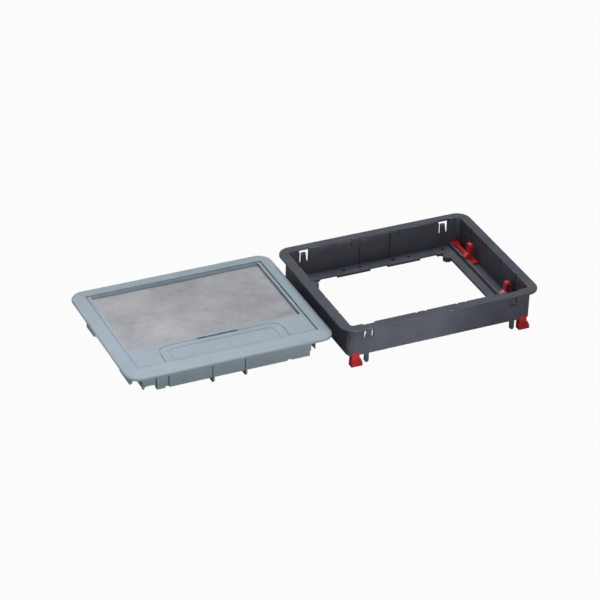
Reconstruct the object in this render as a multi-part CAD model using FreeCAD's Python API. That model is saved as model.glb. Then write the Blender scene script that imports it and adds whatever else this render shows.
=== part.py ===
import FreeCAD, Part
import math
import os

# Floor socket box as two loose units: a cover unit with a hinged lid, and the mounting frame it drops into.
# Each unit is drawn about its own plan centre, with z = 0 at the top edge of its flange, and then placed.
# Millimetres, +X to the right, +Y to the back, +Z up.

# Opening of the mounting frame, which all plan sizes of both units follow
opening_length = 228.0
opening_width = 176.0
opening_corner = 4.0

# Both flanges
flange_reach = 12.0
flange_corner = 17.0

# Where the two units stand
unit_gap = 0.6
unit_stagger = 22.0

# Mounting frame: flange, walls and ledge
frame_flange_thick = 2.4
frame_flange_edge = 0.9
frame_wall = 3.5
frame_depth = 39.0
ledge_thick = 3.0
long_ledge = 16.0
side_ledge = 24.5
ledge_corner = 2.0
ledge_notch_pitch = 66.6
ledge_notch_length = 23.0
ledge_notch_depth = 1.6
ledge_undercut_reach = 4.0
ledge_undercut_height = 1.2
dimple_radius = 1.2
dimple_depth = 0.8
ledge_hole_radius = 2.1
ledge_hole_from_wall = 6.8
ledge_hole_places = (22.4, 43.3)
corner_hole_from_side = 24.7

# Mounting frame: details in and under the walls
fin_place = 20.0
fin_groove_width = 2.4
groove_depth = 1.6
nib_place = 31.5
nib_groove_width = 2.2
nib_groove_height = 9.0
side_groove_places = (19.0, 56.5)
tongue_from_side = 21.5
tongue_window_width = 12.0
tongue_window_height = 16.0
tongue_side_gap = 1.9
tongue_root_width = 7.8
tongue_tip_width = 5.6
tongue_thick = 2.0
tongue_tip_gap = 2.2
tongue_nose = 1.4
tongue_nose_height = 3.0
flange_notch_length = 15.0
flange_notch_depth = 2.2
peg_from_side = 20.0
peg_width = 5.0
peg_length = 12.0
boss_radius = 5.5
boss_depth = 3.5
boss_bore_radius = 1.6
boss_roof = 1.0
boss_from_side_ledge = 1.0
boss_from_long_ledge = 6.0

# Guide rail for the claws
channel_width = 12.0
rail_thick = 1.6
rail_height = 4.0
rail_lip = 2.2
rail_lip_thick = 1.2
detent_from_column = 7.0
detent_width = 2.4
detent_height = 17.0
detent_depth = 1.5

# Fixing claws
claw_clearance = 0.3
claw_travel = 7.0
claw_base_inner_end = 34.0
claw_base_outer_end = 54.0
claw_bar_width = 5.0
claw_bar_height = 4.0
claw_column_place = 47.5
claw_column_width = 9.0
claw_column_thick = 4.8
claw_column_from_wall = 4.0
claw_column_top = 12.5
claw_column_edge = 1.5
claw_flare_height = 6.5
claw_flare_lip = 2.0
claw_flare_width = 7.0
claw_flare_over_rail = 1.1
claw_foot_width = 9.6
claw_foot_depth = 7.5
claw_foot_top_gap = 0.3
claw_foot_reach = 12.5
claw_riser_length = 8.0
toe_width = 13.8
toe_reach = 4.0
toe_height = 4.2
toe_slope = 2.2

# Soft strip under the mounting frame's flange
gasket_from_wall = 1.9
gasket_width = 5.0
gasket_thick = 1.2

# Cover unit: bezel
bezel_rise = 2.8
bezel_edge_height = 3.0
bezel_edge_round = 2.2
seam_from_side = 15.5
bezel_hollow_inset = 2.6
bezel_hollow_depth = 1.5

# Cover unit: rim, seat and skirt
rim_thick = 2.5
front_wall_thick = 3.0
seat_depth = 9.5
seat_thick = 2.3
seat_width = 3.0
skirt_side_clearance = 10.0
skirt_front_clearance = 2.5
skirt_wall = 2.5
skirt_depth = 28.8
side_skirt_depth = 26.0
side_tab_clearance = 0.4
side_tab_thick = 1.2
long_tab_from_wall = 15.0
long_tab_length = 38.0
long_tab_depth = 28.0
deep_tab_from_wall = 17.0
deep_tab_length = 31.0
deep_tab_depth = 31.0
tab_slope_length = 7.5
tab_slope_height = 6.5
plain_end_from_side = 14.0
plain_step_length = 23.0
plain_step_depth = 0.4
plain_notch_length = 5.0
plain_notch_height = 1.5
corner_slot_width = 4.8
corner_slot_top = 6.0
corner_block_length = 10.2
arch_from_side = 10.0
arch_length = 16.0
arch_height = 5.0
arch_rise = 1.0
arch_recess = 3.6
arch_leg = 2.4
arch_leg_rise = 1.5
fin_thick = 1.8
fin_depth = 35.0
fin_in_groove = 0.4
fin_inner_reach = 14.0
fin_chamfer = 3.0
nib_width = 1.6
nib_height = 8.0

# Lid
lid_gap = 0.5
lid_rim_gap = 0.3
lid_side_strip = 4.5
lid_back_strip = 3.0
land_behind_flap = 6.0
lid_plate_thick = 3.0
lid_wall = 2.5
recess_depth = 5.0
recess_floor = 2.8
lid_corner = 1.5
lid_knuckle_radius = 3.0
lid_pin_radius = 1.25
lid_pin_in_lid = 4.0
lid_pin_in_rim = 5.0
lid_rear_chamfer = 3.0
lid_rear_chamfer_depth = 1.5
running_fit = 0.05

# Thin sheet in the lid's recess, which the floor covering is laid on
inlay_gap = 0.4
inlay_thick = 1.1

# Steel plate under the lid and its screws
plate_thick = 2.5
plate_gap = 0.6
plate_screw_radius = 1.5
plate_screw_head_radius = 2.9
plate_screw_from_edge = 9.0
plate_screw_cover = 1.0
plate_screw_rows = 2
plate_screw_columns = 3

# Cord flap
flap_from_catch = 19.5
flap_depth = 32.0
flap_corner = 14.0
flap_gap = 0.4
flap_seat_gap = 0.2
flap_knuckle_radius = 1.5
flap_brow_radius = 1.8
flap_thick = 2.6
flap_pin_radius = 0.75
flap_pin_in_flap = 6.0
flap_pin_in_lid = 6.0
flap_boss_back = 2.0
flap_groove_inset = 10.5
flap_groove_back = 7.5
flap_groove_corner = 8.0
flap_groove_width = 0.8
flap_groove_depth = 0.6
flap_lip_width = 3.0
flap_seat_thick = 1.6
finger_slot_length = 50.0
finger_slot_width = 2.7
finger_slot_depth = 2.0
finger_notch = 0.9

# Foam strips at the cord outlet
cord_seal_thick = 6.0
cord_seal_height = 6.5
cord_seal_end_gap = 0.5

# Lid catches
catch_from_side = 15.0
catch_width = 8.0
catch_height = 3.0
catch_length = 13.0
catch_nose = 1.3
catch_nose_land = 1.0
catch_clearance = 0.3
catch_roof_gap = 0.3
catch_pocket_wall = 1.6
catch_spring_room = 9.0
catch_spring_reach = 3.2
catch_spring_strip = 0.5
catch_spring_turns = 4
catch_cover_thick = 1.6
catch_cover_side = 4.5
catch_screw_from_rear = 4.3
catch_screw_in_web = 2.8
catch_screw_radius = 1.1
catch_screw_head_radius = 2.0
catch_screw_head_height = 1.0

# Rubber pads on the lid's seat
buffer_length = 10.0
buffer_width = 1.8
buffer_thick = 1.3
buffer_places = (30.0, 62.0)

# Places that follow from the sizes above
flange_length = opening_length + 2.0 * flange_reach
flange_width = opening_width + 2.0 * flange_reach
tongue_place = opening_length / 2.0 - tongue_from_side
peg_place = opening_length / 2.0 - peg_from_side
corner_hole_place = opening_length / 2.0 - corner_hole_from_side
claw_base_thick = rail_height - rail_lip_thick - 2.0 * claw_clearance
frame_height = frame_depth + claw_foot_reach
cover_height = fin_depth
unit_shift = (flange_length + unit_gap) / 2.0
ledge_top = ledge_thick - frame_depth
wall_half_x = opening_length / 2.0 + frame_wall
wall_half_y = opening_width / 2.0 + frame_wall
skirt_half_x = opening_length / 2.0 - skirt_side_clearance
skirt_half_y = opening_width / 2.0 - skirt_front_clearance
seam_half_x = flange_length / 2.0 - seam_from_side
seam_half_y = skirt_half_y - front_wall_thick
plain_wall_end = (opening_length / 2.0 - arch_from_side - arch_length - corner_block_length
                  - corner_slot_width)
lid_half_x = seam_half_x - lid_gap
lid_half_y = seam_half_y - lid_gap
lid_low = lid_rim_gap - seat_depth
recess_half_x = lid_half_x - lid_side_strip
flap_front = -lid_half_y
flap_back = flap_front + flap_depth
recess_front = flap_back + land_behind_flap
recess_back = lid_half_y - lid_back_strip
recess_low = bezel_rise - recess_depth
floor_low = recess_low - recess_floor
lid_axis_y = lid_half_y - lid_knuckle_radius
lid_axis_z = bezel_rise - lid_knuckle_radius
lid_inner_x = lid_half_x - lid_wall
lid_inner_back = lid_half_y - lid_wall - lid_rear_chamfer_depth
catch_place = lid_half_x - catch_from_side
flap_half_length = catch_place - flap_from_catch
flap_axis_y = flap_front + flap_knuckle_radius
flap_axis_z = bezel_rise - flap_knuckle_radius
flap_low = bezel_rise - flap_thick
over = 1.0


def vector(x, y, z):
    return FreeCAD.Vector(x, y, z)


def block(x_low, x_high, y_low, y_high, z_low, z_high):
    """A box between two corners."""
    return Part.makeBox(x_high - x_low, y_high - y_low, z_high - z_low, vector(x_low, y_low, z_low))


def rounded_wire(half_x, half_y, radius, z):
    """A rectangle with round corners, about the origin."""
    edges = []
    corners = ((1, 1, 0), (-1, 1, 90), (-1, -1, 180), (1, -1, 270))
    for index, (sign_x, sign_y, start) in enumerate(corners):
        centre = vector(sign_x * (half_x - radius), sign_y * (half_y - radius), z)
        arc = Part.Arc(Part.Circle(centre, vector(0, 0, 1), radius),
                       math.radians(start), math.radians(start + 90))
        edges.append(arc.toShape())
        next_x, next_y, next_start = corners[(index + 1) % 4]
        next_centre = vector(next_x * (half_x - radius), next_y * (half_y - radius), z)
        turn = math.radians(next_start)
        line_end = next_centre + vector(radius * math.cos(turn), radius * math.sin(turn), 0)
        edges.append(Part.LineSegment(arc.EndPoint, line_end).toShape())
    return Part.Wire(edges)


def rounded_plate(half_x, half_y, radius, z_low, z_high):
    """A plate with round corners, about the origin."""
    face = Part.Face(rounded_wire(half_x, half_y, radius, z_low))
    return face.extrude(vector(0, 0, z_high - z_low))


def prism(points, direction):
    """A flat outline of corner points, pushed along a direction."""
    wire = Part.makePolygon(points + [points[0]])
    return Part.Face(wire).extrude(direction)


def rod(radius, x_low, x_high, y, z):
    """A round bar along X."""
    return Part.makeCylinder(radius, x_high - x_low, vector(x_low, y, z), vector(1, 0, 0))


def drum(radius, x, y, z_low, z_high):
    """A round bar along Z."""
    return Part.makeCylinder(radius, z_high - z_low, vector(x, y, z_low))


def mirror_x(shape):
    return shape.mirror(vector(0, 0, 0), vector(1, 0, 0))


def mirror_y(shape):
    return shape.mirror(vector(0, 0, 0), vector(0, 1, 0))


def turned_round(shape):
    """The same shape after half a turn about Z."""
    return mirror_x(mirror_y(shape))


def on_both_sides(shape):
    return [shape, mirror_x(shape)]


def on_both_ends(shape):
    return [shape, mirror_y(shape)]


def at_four_corners(shape):
    return [copy for side in on_both_sides(shape) for copy in on_both_ends(side)]


def joined(shapes):
    """One clean solid out of pieces that meet."""
    return shapes[0].fuse(shapes[1:]).removeSplitter()


def edges_at_height(shape, z):
    return [edge for edge in shape.Edges
            if abs(edge.BoundBox.ZMin - z) < 0.001 and abs(edge.BoundBox.ZMax - z) < 0.001]


# Mounting frame

def frame_shell():
    """Flange and walls, open all through but for the ledge at the bottom."""
    flange = rounded_plate(flange_length / 2.0, flange_width / 2.0, flange_corner, -frame_flange_thick, 0)
    flange = flange.makeFillet(frame_flange_edge, edges_at_height(flange, 0))
    walls = rounded_plate(wall_half_x, wall_half_y, opening_corner + frame_wall, -frame_depth,
                          -frame_flange_thick / 2.0)
    well = rounded_plate(opening_length / 2.0, opening_width / 2.0, opening_corner, ledge_top, over)
    way_through = rounded_plate(opening_length / 2.0 - side_ledge, opening_width / 2.0 - long_ledge,
                                ledge_corner, -frame_depth - over, ledge_top + over)
    return flange.fuse(walls).cut(well.fuse(way_through))


def ledge_cuts():
    """Notches in the ledge's edge where it is thinner, blind dimples behind them, and the screw holes."""
    edge = opening_width / 2.0 - long_ledge
    hole_y = opening_width / 2.0 - ledge_hole_from_wall
    cuts = []
    for step in (-1, 0, 1):
        middle = step * ledge_notch_pitch
        notch = block(middle - ledge_notch_length / 2.0, middle + ledge_notch_length / 2.0, edge - over,
                      edge + ledge_notch_depth, -frame_depth - over, ledge_top + over)
        undercut = block(middle - ledge_notch_length / 2.0, middle + ledge_notch_length / 2.0, edge - over,
                         edge + ledge_undercut_reach, -frame_depth - over, ledge_undercut_height - frame_depth)
        cuts += on_both_ends(notch.fuse(undercut))
        dimple = drum(dimple_radius, middle, hole_y, ledge_top - dimple_depth, ledge_top + over)
        cuts += on_both_ends(dimple)
    for place in ledge_hole_places + (corner_hole_place,):
        cuts += at_four_corners(drum(ledge_hole_radius, place, hole_y, -frame_depth - over, ledge_top + over))
    return cuts


def wall_grooves():
    """Upright grooves that take the cover's fins and nibs."""
    inner = opening_width / 2.0
    fin_groove = block(fin_place - fin_groove_width / 2.0, fin_place + fin_groove_width / 2.0,
                       inner - over, inner + groove_depth, ledge_top, over)
    nib_groove = block(nib_place - nib_groove_width / 2.0, nib_place + nib_groove_width / 2.0,
                       inner - over, inner + groove_depth, -nib_groove_height, over)
    grooves = at_four_corners(fin_groove) + at_four_corners(nib_groove)
    inner = opening_length / 2.0
    for place in side_groove_places:
        side_groove = block(inner - over, inner + groove_depth, place - nib_groove_width / 2.0,
                            place + nib_groove_width / 2.0, -nib_groove_height, over)
        grooves += at_four_corners(side_groove)
    return grooves


def tongue_window():
    """The window round a snap tongue, with the notch above it in the flange's inner edge."""
    inner = opening_width / 2.0
    window = block(tongue_place - tongue_window_width / 2.0, tongue_place + tongue_window_width / 2.0,
                   inner - over, inner + frame_wall + over,
                   -frame_flange_thick - tongue_window_height, -frame_flange_thick)
    notch = block(tongue_place - flange_notch_length / 2.0, tongue_place + flange_notch_length / 2.0,
                  inner - over, inner + flange_notch_depth, -frame_flange_thick - over, over)
    return window.fuse(notch)


def snap_tongue(window_middle):
    """A springy tongue with one sloping side and a wedge nose at its free top."""
    inner = opening_width / 2.0
    root = -frame_flange_thick - tongue_window_height
    tip = -frame_flange_thick - tongue_tip_gap
    left = window_middle - tongue_window_width / 2.0 + tongue_side_gap
    outline = [vector(left, inner, root - over),
               vector(left + tongue_root_width, inner, root - over),
               vector(left + tongue_root_width, inner, root),
               vector(left + tongue_tip_width, inner, tip),
               vector(left, inner, tip)]
    blade = prism(outline, vector(0, tongue_thick, 0))
    nose = prism([vector(left, inner, tip),
                  vector(left, inner - tongue_nose, tip - tongue_nose_height / 2.0),
                  vector(left, inner, tip - tongue_nose_height)], vector(tongue_tip_width, 0, 0))
    return blade.fuse(nose)


def wall_peg():
    """A flat peg with a round tip, under the long walls."""
    low = -frame_depth - peg_length
    radius = peg_width / 2.0
    shank = block(peg_place - radius, peg_place + radius, opening_width / 2.0, wall_half_y, low + radius,
                  -frame_depth + over)
    tip = Part.makeCylinder(radius, frame_wall, vector(peg_place, opening_width / 2.0, low + radius),
                            vector(0, 1, 0))
    return shank.fuse(tip)


def corner_boss_spot():
    return (opening_length / 2.0 - side_ledge - boss_from_side_ledge,
            opening_width / 2.0 - long_ledge - boss_from_long_ledge)


def corner_boss():
    """A round screw boss that hangs from the inner corner of the ledge."""
    x, y = corner_boss_spot()
    outside = drum(boss_radius, x, y, -frame_depth - boss_depth, ledge_top)
    edge_x = opening_length / 2.0 - side_ledge
    web = block(x, edge_x + over, y - boss_radius, y + boss_radius, -frame_depth, ledge_top)
    return outside.fuse(web)


def corner_boss_bore():
    x, y = corner_boss_spot()
    return drum(boss_bore_radius, x, y, -frame_depth - boss_depth - over, ledge_top - boss_roof)


def guide_rail():
    """The rail with its lip, which holds the claws down in the side channel."""
    outer = opening_length / 2.0 - channel_width
    half = opening_width / 2.0
    upright = block(outer - rail_thick, outer, -half, half, ledge_top, ledge_top + rail_height)
    lip = block(outer, outer + rail_lip, -half, half, ledge_top + rail_height - rail_lip_thick,
                ledge_top + rail_height)
    return upright.fuse(lip)


def claw_passages():
    """The slot in the ledge, the gap in the lip and the notch in the wall that a claw's foot needs."""
    half_foot = claw_foot_width / 2.0 + claw_clearance
    middle = claw_foot_middle()
    inner_end = claw_riser_span()[0] - claw_travel - claw_clearance
    slot = block(middle - half_foot, middle + half_foot, inner_end, opening_width / 2.0, -frame_depth - over,
                 ledge_top + rail_height + over)
    notch = block(middle - half_foot, middle + half_foot, opening_width / 2.0 - over, wall_half_y + over,
                  -frame_depth - over, ledge_top + claw_foot_top_gap)
    return slot.fuse(notch)


def detent_slot():
    """The upright slot in the side wall beside a claw's column."""
    middle = claw_column_place + detent_from_column
    inner = opening_length / 2.0
    top = -claw_column_top + over
    return block(inner - over, inner + detent_depth, middle - detent_width / 2.0,
                 middle + detent_width / 2.0, top - detent_height, top)


def make_mounting_frame():
    shell = frame_shell()
    shell = shell.fuse(on_both_sides(guide_rail()) + at_four_corners(wall_peg())
                       + at_four_corners(corner_boss()))
    cuts = ledge_cuts() + wall_grooves() + at_four_corners(tongue_window())
    cuts += at_four_corners(claw_passages()) + at_four_corners(detent_slot())
    cuts += at_four_corners(corner_boss_bore())
    tongues = [snap_tongue(tongue_place), snap_tongue(-tongue_place)]
    tongues += [turned_round(tongue) for tongue in tongues]
    return joined([shell.cut(cuts)] + tongues)


def make_frame_gasket():
    """A soft ring under the flange, outside the walls."""
    half_x = wall_half_x + gasket_from_wall
    half_y = wall_half_y + gasket_from_wall
    corner = opening_corner + frame_wall + gasket_from_wall
    outer = rounded_plate(half_x + gasket_width, half_y + gasket_width, corner + gasket_width,
                          -frame_flange_thick - gasket_thick, -frame_flange_thick)
    inner = rounded_plate(half_x, half_y, corner, -frame_flange_thick - gasket_thick - over, 0)
    return outer.cut(inner)


# Fixing claws, drawn at the back right corner

def claw_foot_middle():
    """Middle of the foot and the column across the channel."""
    return opening_length / 2.0 - channel_width / 2.0


def claw_riser_span():
    """Inner and outer face of the riser that joins the foot to the bar."""
    outer = opening_width / 2.0 - claw_clearance
    return outer - claw_riser_length, outer


def claw_column():
    """The thumb column with its round top and soft edges, and the flare that hooks over the rail."""
    outer = opening_length / 2.0 - claw_column_from_wall
    inner = outer - claw_column_thick
    radius = claw_column_width / 2.0
    low = ledge_top + claw_clearance
    top = -claw_column_top
    low_inner = vector(inner, claw_column_place - radius, low)
    low_outer = vector(inner, claw_column_place + radius, low)
    shoulder_inner = vector(inner, claw_column_place - radius, top - radius)
    shoulder_outer = vector(inner, claw_column_place + radius, top - radius)
    crown = vector(inner, claw_column_place, top)
    outline = Part.Wire([Part.LineSegment(low_inner, low_outer).toShape(),
                         Part.LineSegment(low_outer, shoulder_outer).toShape(),
                         Part.Arc(shoulder_outer, crown, shoulder_inner).toShape(),
                         Part.LineSegment(shoulder_inner, low_inner).toShape()])
    column = Part.Face(outline).extrude(vector(claw_column_thick, 0, 0))
    face_edges = [edge for edge in column.Edges
                  if abs(edge.BoundBox.XMin - inner) < 0.001 and abs(edge.BoundBox.XMax - inner) < 0.001
                  and edge.BoundBox.ZMax > low + over]
    column = column.makeFillet(claw_column_edge, face_edges)
    base = ledge_top + rail_height + claw_clearance
    flare_inner = opening_length / 2.0 - channel_width - claw_flare_over_rail
    flare_side = claw_column_place - claw_flare_width / 2.0
    flare = prism([vector(flare_inner, flare_side, base),
                   vector(inner + over, flare_side, base),
                   vector(inner + over, flare_side, base + claw_flare_height),
                   vector(inner, flare_side, base + claw_flare_height),
                   vector(flare_inner, flare_side, base + claw_flare_lip)], vector(0, claw_flare_width, 0))
    return column.fuse(flare)


def claw_foot():
    """The foot below the ledge and its outward toe with a sloping top."""
    middle = claw_foot_middle()
    half = claw_foot_width / 2.0
    inner = wall_half_y - claw_foot_depth
    low = -frame_height
    upright = block(middle - half, middle + half, inner, wall_half_y, low, ledge_top)
    half = toe_width / 2.0
    toe = prism([vector(middle - half, wall_half_y - toe_reach, low),
                 vector(middle - half, wall_half_y + toe_reach, low),
                 vector(middle - half, wall_half_y + toe_reach, low + toe_height),
                 vector(middle - half, wall_half_y, low + toe_height + toe_slope),
                 vector(middle - half, wall_half_y - toe_reach, low + toe_height + toe_slope)],
                vector(toe_width, 0, 0))
    return upright.fuse(toe)


def make_claw():
    middle = claw_foot_middle()
    low = ledge_top + claw_clearance
    base_inner = opening_length / 2.0 - channel_width + claw_clearance
    base_outer = opening_length / 2.0 - claw_clearance - running_fit
    base = block(base_inner, base_outer, claw_base_inner_end, claw_base_outer_end, low,
                 low + claw_base_thick)
    riser_inner, riser_outer = claw_riser_span()
    half_bar = claw_bar_width / 2.0
    bar = block(middle - half_bar, middle + half_bar, claw_base_outer_end - over, riser_outer, low,
                low + claw_bar_height)
    half_riser = claw_foot_width / 2.0
    riser = block(middle - half_riser, middle + half_riser, riser_inner, riser_outer,
                  ledge_top - claw_foot_depth, low + claw_bar_height)
    return joined([base, bar, riser, claw_column(), claw_foot()])


# Cover unit

def bezel():
    """The domed ring round the lid, with a soft outer edge and a hollow underside."""
    half_x = flange_length / 2.0
    half_y = flange_width / 2.0
    slab = rounded_plate(half_x, half_y, flange_corner, -bezel_edge_height, 0)
    seam_radius = max(flange_corner - seam_from_side, lid_corner)
    dome = Part.makeLoft([rounded_wire(half_x, half_y, flange_corner, 0),
                          rounded_wire(seam_half_x, seam_half_y, seam_radius, bezel_rise)], True, True)
    ring = slab.fuse(dome).removeSplitter()
    ring = ring.makeFillet(bezel_edge_round, edges_at_height(ring, 0))
    hollow_x = half_x - bezel_hollow_inset
    hollow_y = half_y - bezel_hollow_inset
    hollow = rounded_plate(hollow_x, hollow_y, flange_corner - bezel_hollow_inset, -bezel_edge_height - over,
                           bezel_hollow_depth - bezel_edge_height)
    kept = block(-seam_half_x - rim_thick, seam_half_x + rim_thick, -skirt_half_y, skirt_half_y,
                 -bezel_edge_height - over, over)
    return ring.cut(hollow.cut(kept))


def rim_and_seat():
    """The wall round the lid and the shelf that the lid rests on."""
    outer_x = seam_half_x + rim_thick
    seat_low = -seat_depth - seat_thick
    rim = block(-outer_x, outer_x, -skirt_half_y, skirt_half_y, seat_low,
                bezel_hollow_depth - bezel_edge_height)
    lid_room = block(-seam_half_x, seam_half_x, -seam_half_y, seam_half_y, -seat_depth, over)
    well_x = skirt_half_x - skirt_wall
    well_y = seam_half_y - seat_width
    well = block(-well_x, well_x, -well_y, well_y, seat_low - over, over)
    return rim.cut(lid_room.fuse(well))


def back_skirt():
    """The wall below the back long side: plain at the left, a slot, a block and an arch at the right."""
    seat_low = -seat_depth - seat_thick
    well_y = seam_half_y - seat_width
    left_end = plain_end_from_side - opening_length / 2.0
    block_start = plain_wall_end + corner_slot_width
    block_end = block_start + corner_block_length
    wall = block(left_end, plain_wall_end, seam_half_y, skirt_half_y, -skirt_depth, seat_low + over)
    step_end = left_end + plain_step_length
    step = block(left_end - over, step_end, skirt_half_y - plain_step_depth, skirt_half_y + over,
                 -skirt_depth - over, seat_low)
    notch = block(step_end, step_end + plain_notch_length, seam_half_y - over, skirt_half_y + over,
                  -skirt_depth - over, plain_notch_height - skirt_depth)
    web = block(plain_wall_end - over, block_end, well_y, seam_half_y + running_fit, -skirt_depth,
                seat_low + over)
    corner_block = block(block_start, block_end, well_y, skirt_half_y, -skirt_depth, seat_low + over)
    return [wall.cut([step, notch]), web, corner_block, arch_face(block_end)]


def arch_face(start_x):
    """The set-back wall at a corner of the skirt, cut out below in an arch that leaves a leg."""
    seat_low = -seat_depth - seat_thick
    outer = skirt_half_y - arch_recess
    inner = seam_half_y - seat_width
    end_x = start_x + arch_length
    low = arch_leg_rise - skirt_depth
    face = block(start_x - over, end_x, inner, outer, low, seat_low + over)
    arch_low = arch_height - skirt_depth
    leg_x = end_x - arch_leg
    start = vector(start_x, outer + over, low - over)
    rise_start = vector(start_x, outer + over, arch_low - arch_rise)
    crown = vector((start_x + leg_x) / 2.0, outer + over, arch_low)
    rise_end = vector(leg_x, outer + over, arch_low - arch_rise)
    end = vector(leg_x, outer + over, low - over)
    outline = Part.Wire([Part.LineSegment(start, rise_start).toShape(),
                         Part.Arc(rise_start, crown, rise_end).toShape(),
                         Part.LineSegment(rise_end, end).toShape(),
                         Part.LineSegment(end, start).toShape()])
    return face.cut(Part.Face(outline).extrude(vector(0, inner - outer - 2.0 * over, 0)))


def side_skirt():
    """The wall below a short side."""
    half = seam_half_y - seat_width
    return block(skirt_half_x - skirt_wall, skirt_half_x, -half, half, -side_skirt_depth,
                 over - seat_depth - seat_thick)


def side_tab(blunt_end, sloped_end, depth):
    """A thin tab that hangs beside the right short wall, cut off at a slope at its back end."""
    inner = opening_length / 2.0 - side_tab_clearance - side_tab_thick
    top = bezel_hollow_depth - bezel_edge_height
    return prism([vector(inner, blunt_end, top),
                  vector(inner, sloped_end, top),
                  vector(inner, sloped_end, tab_slope_height - depth),
                  vector(inner, sloped_end - tab_slope_length, -depth),
                  vector(inner, blunt_end, -depth)], vector(side_tab_thick, 0, 0))


def side_tabs():
    """The long tab towards the back and the deep tab towards the front, at the right side."""
    long_end = opening_width / 2.0 - long_tab_from_wall
    deep_start = deep_tab_from_wall - opening_width / 2.0
    return [side_tab(long_end - long_tab_length, long_end, long_tab_depth),
            side_tab(deep_start, deep_start + deep_tab_length, deep_tab_depth)]


def skirt_fin():
    """A thin upright fin across the long wall, which drops into a groove of the mounting frame."""
    left = fin_place - fin_thick / 2.0
    outer = opening_width / 2.0 + fin_in_groove
    inner = seam_half_y - fin_inner_reach
    top = bezel_hollow_depth - bezel_edge_height
    return prism([vector(left, inner, -seat_depth - seat_thick),
                  vector(left, inner, -fin_depth),
                  vector(left, outer - fin_chamfer, -fin_depth),
                  vector(left, outer, -fin_depth + fin_chamfer),
                  vector(left, outer, top),
                  vector(left, seam_half_y + over, top),
                  vector(left, seam_half_y + over, -seat_depth - seat_thick)], vector(fin_thick, 0, 0))


def skirt_nib():
    """A small upright nib beside each fin."""
    return block(nib_place - nib_width / 2.0, nib_place + nib_width / 2.0, skirt_half_y - over,
                 opening_width / 2.0 + fin_in_groove, -bezel_edge_height - nib_height,
                 bezel_hollow_depth - bezel_edge_height)


def make_cover_frame():
    lid_room = block(-seam_half_x, seam_half_x, -seam_half_y, seam_half_y, -seat_depth, bezel_rise + over)
    shell = bezel().fuse(rim_and_seat()).cut(lid_room)
    pieces = []
    for piece in back_skirt() + side_tabs():
        pieces += [piece, turned_round(piece)]
    pieces += on_both_sides(side_skirt())
    pieces += at_four_corners(skirt_fin()) + at_four_corners(skirt_nib())
    pin_bore = rod(lid_pin_radius, seam_half_x - over, seam_half_x + lid_pin_in_rim, lid_axis_y, lid_axis_z)
    slot_bottom = -seat_depth - seat_thick
    corner_slot = block(plain_wall_end, plain_wall_end + corner_slot_width, seam_half_y + over,
                        skirt_half_y + over, slot_bottom - over, -corner_slot_top)
    cuts = on_both_sides(pin_bore) + [corner_slot, turned_round(corner_slot)] + catch_keepers() + buffer_pads()
    return joined([shell] + pieces).cut(cuts).removeSplitter()


def catch_keepers():
    """The slots in the front wall that the catch noses enter."""
    half = catch_width / 2.0 + catch_clearance
    low, high = catch_span()
    keeper = block(catch_place - half, catch_place + half, -seam_half_y - catch_nose - catch_clearance,
                   -seam_half_y + over, low - catch_clearance, high + catch_clearance)
    return on_both_sides(keeper)


def buffer_pads():
    """Pads under the lid's side walls, let into the seat."""
    middle = lid_half_x - lid_wall / 2.0
    pads = []
    for place in buffer_places:
        pad = block(middle - buffer_width / 2.0, middle + buffer_width / 2.0, place - buffer_length / 2.0,
                    place + buffer_length / 2.0, lid_low - buffer_thick, lid_low)
        pads += at_four_corners(pad)
    return pads


def make_lid_buffers():
    return Part.makeCompound(buffer_pads())


# Lid

def flap_outline(grow, z):
    """The flap's outline: straight front corners, round back corners, grown by a gap."""
    half = flap_half_length + grow
    front = flap_front
    back = flap_back + grow
    radius = flap_corner + grow
    lean = radius * math.cos(math.radians(45))
    points = {"front_right": vector(half, front, z), "right": vector(half, back - radius, z),
              "back_right": vector(half - radius, back, z), "back_left": vector(radius - half, back, z),
              "left": vector(-half, back - radius, z), "front_left": vector(-half, front, z)}
    right_bend = vector(half - radius + lean, back - radius + lean, z)
    left_bend = vector(radius - half - lean, back - radius + lean, z)
    return Part.Wire([Part.LineSegment(points["front_right"], points["right"]).toShape(),
                      Part.Arc(points["right"], right_bend, points["back_right"]).toShape(),
                      Part.LineSegment(points["back_right"], points["back_left"]).toShape(),
                      Part.Arc(points["back_left"], left_bend, points["left"]).toShape(),
                      Part.LineSegment(points["left"], points["front_left"]).toShape(),
                      Part.LineSegment(points["front_left"], points["front_right"]).toShape()])


def lid_shell():
    """The lid's outer box with its hollow underside and the recess for the floor covering."""
    outside = rounded_plate(lid_half_x, lid_half_y, lid_corner, lid_low, bezel_rise)
    rear_top = [edge for edge in outside.Edges
                if abs(edge.BoundBox.ZMin - bezel_rise) < 0.001 and edge.BoundBox.YMin > lid_half_y - 0.001]
    outside = outside.makeFillet(lid_knuckle_radius - running_fit, rear_top)
    rear_low = prism([vector(-lid_half_x - over, lid_half_y + over, lid_low - over),
                      vector(-lid_half_x - over, lid_half_y + over, lid_low + lid_rear_chamfer),
                      vector(-lid_half_x - over, lid_half_y, lid_low + lid_rear_chamfer),
                      vector(-lid_half_x - over, lid_half_y - lid_rear_chamfer_depth, lid_low - over)],
                     vector(2.0 * (lid_half_x + over), 0, 0))
    recess = block(-recess_half_x, recess_half_x, recess_front, recess_back, recess_low, bezel_rise + over)
    under_floor = block(-lid_inner_x, lid_inner_x, recess_front - lid_wall, lid_inner_back, lid_low - over,
                        floor_low)
    under_front = block(-lid_inner_x, lid_inner_x, lid_wall - lid_half_y, recess_front - lid_wall,
                        lid_low - over, bezel_rise - lid_plate_thick)
    return outside.cut([rear_low, recess, under_floor, under_front])


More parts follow.
